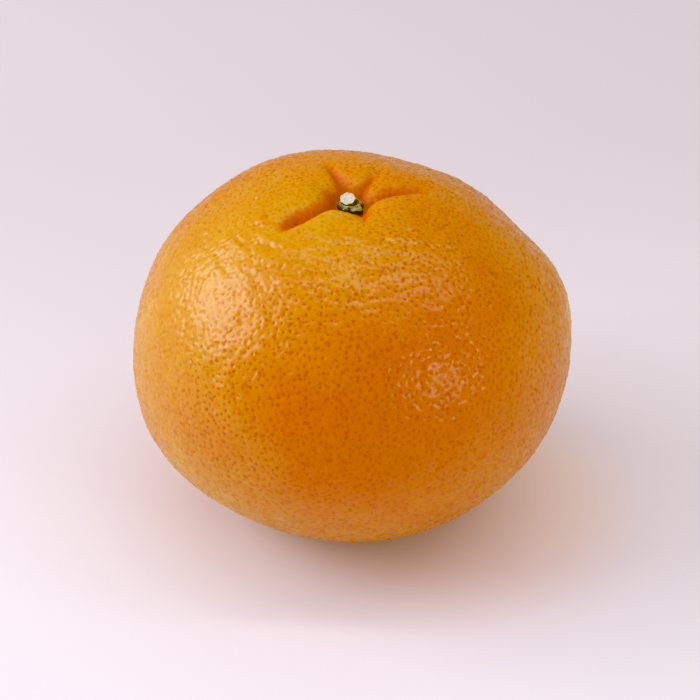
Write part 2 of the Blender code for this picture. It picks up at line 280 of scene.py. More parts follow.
# Rest of the materials
DOT_SPACING = 1.25 * MM                # of the small painted dots between the glands
FOLD_DEPTH = 2.0 * MM                  # depth of a furrow that counts as 1
HOLLOW_SHARE = 0.5                     # how much the hollow dulls the rind, against a furrow
DEAD_RAGGED = 0.9                      # unevenness of the dead edge, in parts of its levels
RIND_SPECULAR = 0.5
RIND_GLOW = 0.12                       # share of the light that spreads under the skin
RIND_GLOW_COLOURS = (1.0, 0.35, 0.05)
RIND_GLOW_REACH = 1.2 * MM
RIND_BUMP = 0.03 * MM
RIND_BUMP_STRENGTH = 1.0
DRY_BUMP = 0.05 * MM
DRY_BUMP_STRENGTH = 0.9
FLOOR_ROUGHNESS = 0.75

# Blemishes: place and reach in mm, how strong, colour
BLEMISHES = (
    ((23.4, -15.1, 57.2), 0.55, 0.5, SCRATCH_BROWN),
    ((23.7, -15.1, 56.8), 0.60, 0.8, SCRATCH_BROWN),
    ((24.1, -15.1, 56.5), 0.60, 0.9, SCRATCH_BROWN),
    ((22.1, -16.2, 57.0), 0.60, 0.7, SPOT_ORANGE),
    ((22.7, -16.3, 56.5), 0.60, 0.7, SPOT_DARK_ORANGE),
    ((15.0, -30.9, 15.6), 0.75, 1.0, SPECK_BLACK),
    ((0.0, 0.0, 0.9), 2.4, 0.9, SCAR_BROWN),
    ((0.0, 0.0, 0.9), 1.0, 0.9, SCAR_DARK),
)
BLEMISH_EDGE = (0.55, 1.15)            # where a mark begins to fade and ends, as a share of its reach
BLEMISH_RAGGED = 0.5                   # unevenness of its edge, as a share of its reach

# Floor and room
FLOOR_HALF = 1.6
FLOOR_FADE = (-0.08, 0.16)             # from the front colour to the painted shade at the back, along Y
WARM_SHADOW_PLACE = (0.021, -0.006, 0.0)      # middle of the painted shadow beside the fruit, warm from the light that it throws on the floor
WARM_SHADOW_REACH = (0.018, 0.039)
ROOM_FADE = (0.15, 0.85)               # from the front colour to the back colour, along Y
ROOM_STRENGTH = 0.68

# Lights: name, direction from the fruit, distance, width, height, power, colour
LIGHTS = (
    ("window_left", (-0.856, 0.045, 0.515), 0.80, 0.68, 0.43, 3.6, (0.98, 1.0, 0.99)),
    ("soft_top", (0.14, -0.01, 0.99), 0.85, 0.08, 1.30, 1.85, (1.0, 1.0, 0.97)),
    ("card_right", (0.709, -0.642, 0.291), 0.70, 0.19, 0.16, 0.52, (0.90, 1.05, 0.82)),
)

# Camera and picture
CAMERA_RISE = 33.0                     # degrees above the level
CAMERA_DISTANCE = 0.339
CAMERA_LENS = 95.2
CAMERA_SENSOR = 36.0
CAMERA_CLIP = 0.01
LOOK_AT = (-0.15 * MM, 0.0, CENTRE_HEIGHT - 1.16 * MM)
PICTURE_WIDTH = 700.0
PRINCIPAL_ROW = 348.5                  # row of the photo that the camera points at
BLACK_LEVEL = (0.0, 0.0, 0.046)        # blue below this level turns black, as in the photo


def smooth(value, low, high):
    """0 below low, 1 above high, and an S-curve between."""
    t = np.clip((value - low) / (high - low), 0.0, 1.0)
    return t * t * (3.0 - 2.0 * t)


def direction(polar, azimuth):
    """Unit vector from degrees down from the top and degrees round."""
    polar, azimuth = math.radians(polar), math.radians(azimuth)
    return np.array((math.sin(polar) * math.cos(azimuth), math.sin(polar) * math.sin(azimuth),
                     math.cos(polar)))


def around(units, patches, unit=1.0):
    """Sum of soft round patches: degrees from the top, azimuth, amount, width in degrees."""
    total = np.zeros(len(units))
    for polar, azimuth, amount, width in patches:
        angle = np.degrees(np.arccos(np.clip(units @ direction(polar, azimuth), -1.0, 1.0)))
        total += amount * unit * np.exp(-(angle / width) ** 2)
    return total


# Form of the fruit, the same as the solid's


def body_reach(units):
    """How far the plain ellipsoid reaches from its centre along unit vectors."""
    across = np.hypot(units[:, 0], units[:, 1])
    half = np.where(units[:, 2] > 0.0, UPPER_HALF, LOWER_HALF)
    return 1.0 / np.sqrt((across / BODY_RADIUS) ** 2 + (units[:, 2] / half) ** 2)


def furrow_depth(x, y):
    """Depth of the furrows that run out from the stem, at places seen from above."""
    x, y = x - STEM_PLACE[0], y - STEM_PLACE[1]
    total = np.zeros(len(x))
    for start, end, bow, depth, left, right in FURROWS:
        start, end = np.array(start) * MM, np.array(end) * MM
        length = math.hypot(*(end - start))
        run = (end - start) / length
        along = (x - start[0]) * run[0] + (y - start[1]) * run[1]
        share = np.clip(along / length, 0.0, 1.0)
        aside = (y - start[1]) * run[0] - (x - start[0]) * run[1]
        aside -= bow * MM * 4.0 * share * (1.0 - share)
        beyond = (along - share * length) / FURROW_MOUTH
        wall = np.where(aside > 0.0, left, right) * MM
        away = np.sqrt((aside / wall) ** 2 + beyond ** 2 + CREASE_ROUNDING ** 2) - CREASE_ROUNDING
        total += depth * MM * (1.0 - FURROW_FADE * share) * np.exp(-away)
    return total


def from_stem(x, y):
    """Distance from the stem, seen from above."""
    return np.hypot(x - STEM_PLACE[0], y - STEM_PLACE[1])


def hollow_depth(away):
    """Depth of the sunk stem end without its furrows, at a distance from the stem."""
    inner = INNER_DEPTH * np.exp(-(away / INNER_RADIUS) ** 2)
    return inner + OUTER_DEPTH * np.exp(-(away / OUTER_RADIUS) ** 2)


def seat_height():
    """Height of the flat floor that the calyx sits on."""
    aside = math.hypot(*STEM_PLACE) / BODY_RADIUS
    return CENTRE_HEIGHT + UPPER_HALF * math.sqrt(1.0 - aside ** 2) - hollow_depth(0.0)


def sink_stem_end(points):
    """Sinks the stem end with its furrows, and flattens the seat of the calyx."""
    x, y = points[:, 0], points[:, 1]
    away = from_stem(x, y)
    top = points[:, 2] > CENTRE_HEIGHT
    sunk = points[:, 2] - np.where(top, hollow_depth(away) + furrow_depth(x, y), 0.0)
    seated = np.where(top, smooth(-away, -SEAT_RADIUS * SEAT_BLEND, -SEAT_RADIUS), 0.0)
    points[:, 2] = sunk * (1.0 - seated) + seat_height() * seated


def settle(points):
    """Presses the bottom onto the surface and hollows the stylar dimple."""
    height = points[:, 2]
    blend = (height + SETTLE_BLEND) ** 2 / (4.0 * SETTLE_BLEND)
    height = np.where(height < -SETTLE_BLEND, 0.0, np.where(height > SETTLE_BLEND, height, blend))
    away = np.hypot(points[:, 0], points[:, 1]) / DIMPLE_RADIUS
    below = points[:, 2] < CENTRE_HEIGHT
    dimple = np.where(below, np.clip(1.0 - away ** 2, 0.0, 1.0) ** 2, 0.0)
    points[:, 2] = height + DIMPLE_DEPTH * dimple


def fruit_surface(units, raised):
    """Points of the fruit along unit vectors from its centre, with the fine relief added."""
    points = units * (body_reach(units) + around(units, SWELLS, MM) + raised)[:, None]
    points[:, 2] += CENTRE_HEIGHT
    sink_stem_end(points)
    settle(points)
    return points


# Points of the rind: the glands, a ring round each, and the ridges between them


def unit_rows(rows):
    """The same directions, each with length 1."""
    return rows / np.linalg.norm(rows, axis=1)[:, None]


def even_points(spacing, rng):
    """Unit vectors spread about evenly over the fruit, without any visible rows."""
    area = 4.0 * math.pi * ((BODY_RADIUS * 2.0 + UPPER_HALF) / 3.0) ** 2
    count = int(area / (spacing ** 2 * math.sqrt(3.0) / 2.0))
    index = np.arange(count) + 0.5
    up = 1.0 - 2.0 * index / count
    turn = index * math.pi * (3.0 - math.sqrt(5.0))
    across = np.sqrt(1.0 - up ** 2)
    units = np.column_stack((across * np.cos(turn), across * np.sin(turn), up))
    near = math.sqrt(4.0 * math.pi / count)
    units = unit_rows(units + rng.normal(size=units.shape) * near * GLAND_SCATTER)
    for _ in range(GLAND_ROUNDS):
        units = push_apart(units, near)
    return units


def tree_of(units):
    """Tree that finds the nearest of some points."""
    tree = kdtree.KDTree(len(units))
    for index, unit in enumerate(units):
        tree.insert(unit, index)
    tree.balance()
    return tree


def push_apart(units, near):
    """Moves points that stand nearer than near away from their neighbours."""
    tree = tree_of(units)
    count = GLAND_NEIGHBOURS + 1
    others = np.array([[found[1] for found in tree.find_n(unit, count)[1:]] for unit in units])
    apart = units[:, None] - units[others]
    distance = np.linalg.norm(apart, axis=2) + 1e-9
    push = apart / distance[:, :, None] * np.clip(near - distance, 0.0, None)[:, :, None]
    return unit_rows(units + GLAND_PUSH * push.sum(axis=1))


def sphere_faces(units, first_of_ring):
    """Triangles between points on the unit sphere.

    The sphere is laid out flat from its lowest point. The last point is that lowest one, and the
    points from first_of_ring on are the ring round it.
    """
    flat = units[:-1, :2] / (1.0 + units[:-1, 2])[:, None]
    laid = delaunay_2d_cdt([Vector(place) for place in flat], [], [], 0, 1e-10)
    faces = [tuple(face) for face in laid[2]]
    bottom = len(units) - 1
    for step in range(POLE_SIDES):
        here, after = first_of_ring + step, first_of_ring + (step + 1) % POLE_SIDES
        faces.append((here, bottom, after))
    return faces


def tangents(units):
    """Two unit vectors along the sphere at each point."""
    helper = np.where(np.abs(units[:, 2:3]) > 0.9, (1.0, 0.0, 0.0), (0.0, 0.0, 1.0))
    one = unit_rows(np.cross(units, helper))
    return one, np.cross(units, one)


def gland_rings(glands, reach, rng):
    """A ring of points round each gland, a little uneven."""
    one, two = tangents(glands)
    start = rng.uniform(0.0, 2.0 * math.pi, len(glands))
    size = rng.uniform(*GLAND_RING_SIZES, len(glands)) * reach
    rings = []
    for step in range(GLAND_RING):
        angle = start + 2.0 * math.pi * step / GLAND_RING
        offset = one * np.cos(angle)[:, None] + two * np.sin(angle)[:, None]
        rings.append(unit_rows(glands + offset * size[:, None]))
    return np.vstack(rings)


def stem_lattice():
    """Plain points that let the furrows run sharp, as unit vectors."""
    steps = int(FINE_RADIUS / FINE_SPACING) + 2
    rows = []
    for row in range(-2 * steps, 2 * steps + 1):
        for column in range(-2 * steps, 2 * steps + 1):
            x = (column + 0.5 * (row % 2)) * FINE_SPACING
            y = row * FINE_SPACING * math.sqrt(3.0) / 2.0
            if math.hypot(x, y) < FINE_RADIUS:
                rows.append((x, y))
    places = np.array(rows) + STEM_PLACE
    height = UPPER_HALF * np.sqrt(1.0 - (places ** 2).sum(axis=1) / BODY_RADIUS ** 2)
    return unit_rows(np.column_stack((places, height)))


def bottom_points():
    """The ring round the lowest point, then that point."""
    polar = math.pi - POLE_RING / LOWER_HALF
    turns = np.arange(POLE_SIDES) * 2.0 * math.pi / POLE_SIDES
    circle = np.column_stack((math.sin(polar) * np.cos(turns), math.sin(polar) * np.sin(turns),
                              np.full(POLE_SIDES, math.cos(polar))))
    return np.vstack((circle, ((0.0, 0.0, -1.0),)))


def gland_points(rng):
    """Unit vectors of the glands, which keep clear of the seat and of the lowest point."""
    glands = even_points(GLAND_SPACING, rng)
    places = glands * body_reach(glands)[:, None]
    stem = from_stem(places[:, 0], places[:, 1])
    middle = np.hypot(places[:, 0], places[:, 1])
    at_top = (glands[:, 2] > 0.0) & (stem < SEAT_RADIUS * SEAT_CLEAR)
    at_pole = (glands[:, 2] < 0.0) & (middle < POLE_CLEAR * POLE_RING)
    return glands[~(at_top | at_pole)]


def ridge_points(glands):
    """The middle between each three neighbouring glands."""
    hull = np.vstack((glands, bottom_points()))
    faces = np.array([face for face in sphere_faces(hull, len(glands)) if len(face) == 3])
    faces = faces[(faces < len(glands)).all(axis=1)]
    return unit_rows(glands[faces].mean(axis=1))


def rind_points():
    """Unit vectors of the rind's points, its faces, and how dark and how deep each point is."""
    rng = np.random.default_rng(SEED)
    glands = gland_points(rng)
    ridges = ridge_points(glands)
    reach = GLAND_RADIUS / BODY_RADIUS
    rings = gland_rings(glands, reach, rng)
    lattice = stem_lattice()
    tree = tree_of(glands)
    clear = np.array([tree.find(point)[2] > FINE_CLEAR * reach for point in lattice])
    units = np.vstack((glands, rings, ridges, lattice[clear], bottom_points()))

    count = len(glands)
    depth, dark = np.zeros(len(units)), np.zeros(len(units))
    depth[:count] = rng.uniform(*GLAND_DEPTHS, count)
    depth[count:(1 + GLAND_RING) * count] = RING_SHARE * np.tile(depth[:count], GLAND_RING)
    dark[:count] = rng.uniform(*GLAND_DARKNESS, count)
    return units, sphere_faces(units, len(units) - POLE_SIDES - 1), dark, depth


def wave_height(units):
    """Uneven relief of the rind between the glands, in metres."""
    total = np.zeros(len(units))
    places = units * BODY_RADIUS / MM
    for number, (size, height) in enumerate(WAVES):
        shift = Vector((WAVE_SHIFT[0] * number, *WAVE_SHIFT[1:]))
        waves = [noise.noise(Vector(place) / size + shift) for place in places]
        total += np.array(waves) * height * MM
    return total


def wrinkle_height(units):
    """Relief of the wrinkles over the front of the shoulder, in metres."""
    polar = np.degrees(np.arccos(np.clip(units[:, 2], -1.0, 1.0)))
    across = np.maximum(np.hypot(units[:, 0], units[:, 1]), 0.001)
    turn = units[:, :2] / across[:, None] * WRINKLE_TURN
    band = np.exp(-((polar - WRINKLE_POLAR) / WRINKLE_WIDTH) ** 2)
    where = band * smooth(-units[:, 1], *WRINKLE_FRONT)
    steps = polar / WRINKLE_STEP
    waves = [noise.noise(Vector((x, y, step))) for (x, y), step in zip(turn, steps)]
    return WRINKLE_HEIGHT * where * np.array(waves)


def mesh_object(name, points, faces, material):
    """A smooth-shaded mesh in the scene, with one material."""
    mesh = bpy.data.meshes.new(name)
    mesh.from_pydata([tuple(point) for point in points], [], faces)
    mesh.shade_smooth()
    mesh.materials.append(material)
    thing = bpy.data.objects.new(name, mesh)
    bpy.context.collection.objects.link(thing)
    return thing


def point_value(thing, name, values):
    """Stores one number for each point, which the material reads."""
    store = thing.data.attributes.new(name, "FLOAT", "POINT")
    store.data.foreach_set("value", np.asarray(values, dtype=np.float32))


# Materials


def new_material(name):
    """A material, its node tree and its shader."""
    material = bpy.data.materials.new(name)
    material.use_nodes = True
    tree = material.node_tree
    return material, tree, tree.nodes["Principled BSDF"]


def add(tree, kind, **values):
    """A node with some of its own settings, and inputs given by name with spaces as underscores."""
    node = tree.nodes.new(kind)
    for key, value in values.items():
        if hasattr(node, key):
            setattr(node, key, value)
        else:
            node.inputs[key.replace("_", " ")].default_value = value
    return node


def join(tree, source, target):
    """Links an output socket to an input socket."""
    tree.links.new(source, target)


def calculate(tree, operation, *values, clamp=False):
    """Result of an operation on sockets and plain numbers."""
    node = add(tree, "ShaderNodeMath", operation=operation, use_clamp=clamp)
    for value, socket in zip(values, node.inputs):
        if isinstance(value, float):
            socket.default_value = value
        else:
            join(tree, value, socket)
    return node.outputs[0]


def ramp(tree, source, low, high, low_value=0.0, high_value=1.0):
    """Source from low to high, turned into low_value to high_value with an S-curve."""
    node = tree.nodes.new("ShaderNodeMapRange")
    node.interpolation_type = "SMOOTHSTEP"
    for place, value in enumerate((low, high, low_value, high_value), start=1):
        node.inputs[place].default_value = value
    join(tree, source, node.inputs[0])
    return node.outputs[0]


def mix_colours(tree, share, first, second):
    """Mix of two colours or colour sockets, by a share socket."""
    node = tree.nodes.new("ShaderNodeMix")
    node.data_type = "RGBA"
    join(tree, share, node.inputs[0])
    for value, socket in ((first, node.inputs[6]), (second, node.inputs[7])):
        if isinstance(value, tuple):
            socket.default_value = (*value, 1.0)
        else:
            join(tree, value, socket)
    return node.outputs[2]


def layer(tree, colour, source, levels, over):
    """A colour with another over it, as far as a ramp on the source lets it show."""
    return mix_colours(tree, ramp(tree, source, *levels), colour, over)


def waves_in(tree, size, detail, rough=0.5):
    """Noise in the object's own place, with waves of about this size in metres."""
    place = tree.nodes.new("ShaderNodeTexCoord")
    node = add(tree, "ShaderNodeTexNoise", Scale=1.0 / size, Detail=detail, Roughness=rough)
    join(tree, place.outputs["Object"], node.inputs["Vector"])
    return node.outputs["Fac"]


def pattern(tree, waves, levels):
    """Waves read between two levels."""
    return ramp(tree, waves_in(tree, *waves), *levels)


def spots_in(tree, size):
    """Distance to scattered places about this far apart, as a share of it."""
    place = tree.nodes.new("ShaderNodeTexCoord")
    node = add(tree, "ShaderNodeTexVoronoi", Scale=1.0 / size)
    join(tree, place.outputs["Object"], node.inputs["Vector"])
    return node.outputs["Distance"]


def value_of(tree, name):
    """A number that the points of the mesh carry."""
    node = tree.nodes.new("ShaderNodeAttribute")
    node.attribute_name = name
    return node.outputs["Fac"]


def distance_to(tree, place):
    """Distance from a place in the object's own space, in metres."""
    here = tree.nodes.new("ShaderNodeTexCoord")
    node = add(tree, "ShaderNodeVectorMath", operation="DISTANCE")
    join(tree, here.outputs["Object"], node.inputs[0])
    node.inputs[1].default_value = place
    return node.outputs["Value"]


def bump(tree, shader, height, distance, strength):
    """Relief that is only shaded."""
    node = add(tree, "ShaderNodeBump", Strength=strength, Distance=distance)
    join(tree, height, node.inputs["Height"])
    join(tree, node.outputs["Normal"], shader.inputs["Normal"])


def blemish(tree, place, reach, share):
    """Share of a round mark, with a ragged edge."""
    away = distance_to(tree, [number * MM for number in place])
    waves = waves_in(tree, *RAGGED_WAVES)
    ragged = calculate(tree, "MULTIPLY_ADD", waves, BLEMISH_RAGGED * reach * MM, away)
    low, high = [edge * reach * MM for edge in BLEMISH_EDGE]
    return ramp(tree, ragged, low, high, share, 0.0)


def rind_colour(tree, tone_and_light, gland):
    """The rind's tone with painted light on it, freckles, painted shade in the furrows, painted dots,
    glands and blemishes, one over the other.
    """
    # Painted light: yellower where the lights fall and towards the rims, palest where it is
    # strongest, over an uneven tone
    mottled_tone_and_light = calculate(tree, "ADD", tone_and_light, pattern(tree, *RIPE_PATTERN), clamp=True)
    skin = mix_colours(tree, mottled_tone_and_light, RIND_DEEP, RIND_YELLOW)
    skin = layer(tree, skin, mottled_tone_and_light, PALE_LEVELS, RIND_PALE)
    skin = mix_colours(tree, pattern(tree, *FRECKLE_PATTERN), skin, GLAND_DEEP)
    # Painted shade: deeper red-orange down in the furrows
    skin = layer(tree, skin, value_of(tree, "fold"), FOLD_SHADE_LEVELS, FURROW_SHADE)
    dots = ramp(tree, spots_in(tree, DOT_SPACING), *DOT_LEVELS)
    # The dots fade where the painted light makes the rind yellow
    dots = calculate(tree, "MULTIPLY", dots, ramp(tree, tone_and_light, *DOT_LIT_LEVELS))
    skin = mix_colours(tree, dots, skin, GLAND_DEEP)
    skin = layer(tree, skin, gland, GLAND_LEVELS, GLAND_DEEP)
    for place, reach, share, colour in BLEMISHES:
        skin = mix_colours(tree, blemish(tree, place, reach, share), skin, colour)
    return skin


def rind_material():
    """Waxy orange skin, duller where it is sunk, with a little light in it."""
    material, tree, shader = new_material("rind_skin")
    gland = value_of(tree, "gland")
    join(tree, rind_colour(tree, value_of(tree, "tone_and_light"), gland), shader.inputs["Base Color"])
    dull = ramp(tree, value_of(tree, "sunk"), *DULL_LEVELS)
    rough = calculate(tree, "ADD", pattern(tree, *WAX_PATTERN), dull, clamp=True)
    join(tree, rough, shader.inputs["Roughness"])
    shader.inputs["Specular IOR Level"].default_value = RIND_SPECULAR
    shader.inputs["Subsurface Weight"].default_value = RIND_GLOW
    shader.inputs["Subsurface Radius"].default_value = RIND_GLOW_COLOURS
    shader.inputs["Subsurface Scale"].default_value = RIND_GLOW_REACH
    grain = pattern(tree, *GRAIN_PATTERN)
    relief = calculate(tree, "ADD", grain, ramp(tree, gland, *HOLE_LEVELS))
    bump(tree, shader, relief, RIND_BUMP, RIND_BUMP_STRENGTH)
    return material


def make_rind():
    """The whole rind, which rides in place of the plain fruit."""
    units, faces, dark, depth = rind_points()
    scatter = np.random.default_rng(SEED + 1).normal(size=len(units)) * RIDGE_SCATTER
    raised = wave_height(units) + wrinkle_height(units) + scatter - GLAND_DEPTH * depth
    points = fruit_surface(units, raised)
    thing = mesh_object("rind", points, faces, rind_material())

    # Painted light on the rind's tone: yellower where the lights fall and towards the rims, deep
    # orange where the front lies in shade
    tone_and_light = TONE_BASE + around(units, LIT_YELLOW_PATCHES)
    top = points[:, 2] > CENTRE_HEIGHT
    furrows = furrow_depth(points[:, 0], points[:, 1])
    hollow = hollow_depth(from_stem(points[:, 0], points[:, 1]))
    sunk = furrows + HOLLOW_SHARE * hollow
    # The glands fade where that painted light makes the rind yellow
    point_value(thing, "gland", dark * (1.0 - GLAND_PALING * smooth(tone_and_light, *GLAND_PALING_LIT)))
    point_value(thing, "fold", np.where(top, furrows / FOLD_DEPTH, 0.0))
    point_value(thing, "sunk", np.where(top, sunk / FOLD_DEPTH, 0.0))
    point_value(thing, "tone_and_light", tone_and_light)
    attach(thing, "root")
    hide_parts("fruit")


# Calyx and stub of the stalk


def smooth_curve(places, count):
    """Evenly spread points on a smooth curve through a few places."""
    places = np.array(places)
    padded = np.vstack((places[:1], places, places[-1:]))
    out = []
    for share in np.linspace(0.0, len(places) - 1.0001, count):
        step, t = int(share), share % 1.0
        one, two, three, four = padded[step:step + 4]
        square = 2.0 * one - 5.0 * two + 4.0 * three - four
        cube = 3.0 * two - one - 3.0 * three + four
        out.append(0.5 * (2.0 * two + (three - one) * t + square * t ** 2 + cube * t ** 3))
    return np.array(out)


def fan_and_bands(rings, spokes):
    """Faces of a stack of rings, closed by a point at each end."""
    first, last = rings * spokes, rings * spokes + 1
    faces = []
    for spoke in range(spokes):
        after = (spoke + 1) % spokes
        faces.append((first, after, spoke))
        faces.append((last, (rings - 1) * spokes + spoke, (rings - 1) * spokes + after))
        for ring in range(rings - 1):
            low, high = ring * spokes, (ring + 1) * spokes
            faces.append((low + spoke, low + after, high + after, high + spoke))
    return faces


def rough_by(points, lumps):
    """Points moved by uneven lumps, each kind given by its size and height."""
    for size, height in lumps:
        shifts = [noise.noise_vector(Vector(point) / size) for point in points]
        points = points + np.array(shifts) * height
    return points


def turn_between(one, other):
    """Degrees between two azimuths, the short way round."""
    return abs((one - other + 180.0) % 360.0 - 180.0)


def calyx_edge(azimuth):
    """Radius of the calyx's edge at one azimuth in degrees."""
    radius = CALYX_DISC_RADIUS
    for middle, length, half_width in CALYX_LOBES:
        spread = math.degrees(half_width * MM / CALYX_DISC_RADIUS)
        share = max(0.0, 1.0 - turn_between(azimuth, middle) / spread)
        grown = (length * MM - CALYX_DISC_RADIUS) * (1.0 - (1.0 - share) ** 2)
        radius = max(radius, CALYX_DISC_RADIUS + grown)
    torn = noise.noise(Vector((azimuth / CALYX_TEAR_ANGLE, CALYX_TEAR_PLACE, 0.0)))
    on_lobe = smooth(radius, CALYX_DISC_RADIUS, CALYX_DISC_RADIUS + CALYX_TEAR_BLEND)
    return radius + CALYX_TEAR * torn * on_lobe


def calyx_rings(edge):
    """Cross-section of the calyx where its edge has this radius, from underneath round to the cup."""
    outer = max(edge - COLLAR_RADIUS, 0.0)
    return (
        (0.25 * MM, CALYX_FOOT),
        (edge * 0.5, CALYX_FOOT),
        (edge * 0.90, CALYX_FOOT),
        (edge, CALYX_EDGE * 0.35),
        (edge - 0.10 * MM, CALYX_EDGE),
        (COLLAR_RADIUS + outer * 0.55, CALYX_SHOULDER * 0.80),
        (COLLAR_RADIUS + outer * 0.25, CALYX_SHOULDER),
        (COLLAR_RADIUS + 0.06 * MM, COLLAR_HEIGHT * 0.8),
        (COLLAR_RADIUS - 0.06 * MM, COLLAR_HEIGHT),
        (CUP_RADIUS, COLLAR_HEIGHT * 0.95),
        (CUP_RADIUS - 0.04 * MM, CUP_FLOOR),
        (CUP_RADIUS * 0.5, CUP_FLOOR),
    )


def husk_material():
    """Dry olive husk with a pinkish side, dark crumbs and a dead edge."""
    material, tree, shader = new_material("calyx_husk")
    mottle = pattern(tree, *HUSK_PATTERN)
    colour = mix_colours(tree, mottle, HUSK_OLIVE, HUSK_STRAW)
    colour = layer(tree, colour, value_of(tree, "pinkish"), PINK_LEVELS, HUSK_PINK)
    colour = mix_colours(tree, pattern(tree, *CRUMB_PATTERN), colour, HUSK_CRUMB)
    waves = waves_in(tree, *DEAD_WAVES)
    ragged = calculate(tree, "MULTIPLY_ADD", waves, DEAD_RAGGED, value_of(tree, "dead"))
    colour = layer(tree, colour, ragged, DEAD_LEVELS, HUSK_BLACK)
    join(tree, colour, shader.inputs["Base Color"])
    join(tree, ramp(tree, mottle, *HUSK_ROUGH_LEVELS), shader.inputs["Roughness"])
    bump(tree, shader, waves_in(tree, *HUSK_BUMP_WAVES), DRY_BUMP, DRY_BUMP_STRENGTH)
    return material


def past_collar(radius):
    """How far outside the collar, in mm."""
    return np.clip(radius - COLLAR_RADIUS, 0.0, None) / MM


def calyx_rows(azimuths, edges):
    """Radius and height of the calyx's points, in rows from underneath round to the cup."""
    rows = np.array([smooth_curve(calyx_rings(edge), CALYX_ROWS) for edge in edges])
    radius, height = rows[:, :, 0].T, rows[:, :, 1].T
    places = [Vector((azimuth / CALYX_CURL_ANGLE, CALYX_CURL_PLACE, 0.0)) for azimuth in azimuths]
    lift = np.clip(np.array([noise.noise(place) for place in places]), *CALYX_CURL_LIMITS)
    return radius, height + CALYX_CURL * lift * past_collar(radius) ** 2


def calyx_points(azimuths, radius, height):
    """Places of the calyx's points, with the two that close it."""
    floor = seat_height() + GAP
    turn = np.radians(azimuths)
    points = np.column_stack((STEM_PLACE[0] + (radius * np.cos(turn)).ravel(),
                              STEM_PLACE[1] + (radius * np.sin(turn)).ravel(),
                              (floor + height).ravel()))
    points = rough_by(points, CALYX_LUMPS)
    points[:, 2] = np.maximum(points[:, 2], floor + CALYX_FOOT)
    ends = ((*STEM_PLACE, floor + CALYX_FOOT), (*STEM_PLACE, floor + CUP_FLOOR))
    return np.vstack((points, ends))


def calyx_dead(radius, height, edges):
    """How dead each point is: most at the edge of the lobes, less round the rim of the cup."""
    inward = ((edges - radius) / CALYX_MARGIN).ravel()
    dead = np.clip(1.0 - inward, 0.0, 1.0) * (past_collar(radius).ravel() > 0.0)
    rim = np.clip(1.0 - np.abs(height.ravel() - COLLAR_HEIGHT) / CALYX_RIM_MARGIN, 0.0, 1.0)
    return np.append(np.maximum(dead, CALYX_RIM_DEAD * rim), (1.0, 1.0))


def calyx_pink(azimuths, radius):
    """How pinkish each point is, which only one side of the lobes is."""
    off = turn_between(azimuths, CALYX_PINK_AZIMUTH) / CALYX_PINK_SPREAD
    pinkish = np.clip(1.0 - off, 0.0, 1.0)[None, :] * (past_collar(radius) > CALYX_PINK_FROM)
    return np.append(pinkish.ravel(), (0.0, 0.0))


def make_calyx():
    """The dry calyx, with torn and curled lobes."""
    azimuths = np.arange(CALYX_SPOKES) * 360.0 / CALYX_SPOKES
    edges = np.array([calyx_edge(azimuth) for azimuth in azimuths])
    radius, height = calyx_rows(azimuths, edges)
    points = calyx_points(azimuths, radius, height)
    thing = mesh_object("dry_calyx", points, fan_and_bands(CALYX_ROWS, CALYX_SPOKES), husk_material())
    point_value(thing, "dead", calyx_dead(radius, height, edges))
    point_value(thing, "pinkish", calyx_pink(azimuths, radius))
    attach(thing, "root")
    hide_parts("calyx")


def stub_top(x, y):
    """Height of the slanted cut above the stub's foot."""
    return STUB_HEIGHT + y * math.tan(STUB_SLANT) + x * math.tan(STUB_SIDE_SLANT)


def wood_material():
    """Dark bark round a pale cut with cells, specks and a greyer core."""
    material, tree, shader = new_material("cut_stalk")
    cell = pattern(tree, *CELL_PATTERN)
    pale = mix_colours(tree, cell, WOOD_CREAM, WOOD_GREY)
    pale = layer(tree, pale, value_of(tree, "core"), CORE_LEVELS, WOOD_PITH)
    pale = mix_colours(tree, pattern(tree, *SPECK_PATTERN), pale, WOOD_SPECK)
    bark = mix_colours(tree, pattern(tree, *FIBRE_PATTERN), BARK_DARK, BARK_PALE)
    colour = layer(tree, bark, value_of(tree, "cut"), CUT_LEVELS, pale)
    join(tree, colour, shader.inputs["Base Color"])
    join(tree, ramp(tree, cell, *WOOD_ROUGH_LEVELS), shader.inputs["Roughness"])
    bump(tree, shader, waves_in(tree, *WOOD_BUMP_WAVES), DRY_BUMP, DRY_BUMP_STRENGTH)
    return material


def stub_side(foot, turn, ridges):
    """Rings up the side: their points, how much they belong to the cut and to its core."""
    rings = []
    for up in np.linspace(0.0, 1.0, STUB_ROWS):
        waist = 1.0 - STUB_WAIST * math.sin(math.pi * up)
        worn = 1.0 - STUB_WEAR * smooth(up, *STUB_WEAR_SPAN)
        plain = STUB_FOOT_RADIUS + (STUB_TOP_RADIUS - STUB_FOOT_RADIUS) * up
        radius = plain * waist * worn + ridges
        x, y = radius * np.cos(turn), radius * np.sin(turn)
        points = np.column_stack((x + STUB_LEAN * up, y, foot + up * stub_top(x, y)))
        rings.append((points, smooth(up, *STUB_CUT_SPAN) * STUB_CUT_SHARE, 0.0))
    return rings


def stub_face(foot, turn, ridges):
    """Rings inwards over the cut, given in the same way as those of the side."""
    rings = []
    for share in np.linspace(*STUB_FACE_SPAN, STUB_FACE_ROWS):
        radius = (STUB_TOP_RADIUS * STUB_FACE_RADIUS + ridges) * share
        x, y = radius * np.cos(turn), radius * np.sin(turn)
        sunk = PITH_DEPTH * smooth(-share, -PITH_EDGE, -PITH_CORE)
        points = np.column_stack((x + STUB_LEAN, y, foot + stub_top(x, y) - sunk))
        rings.append((points, 1.0, 1.0 - share))
    return rings


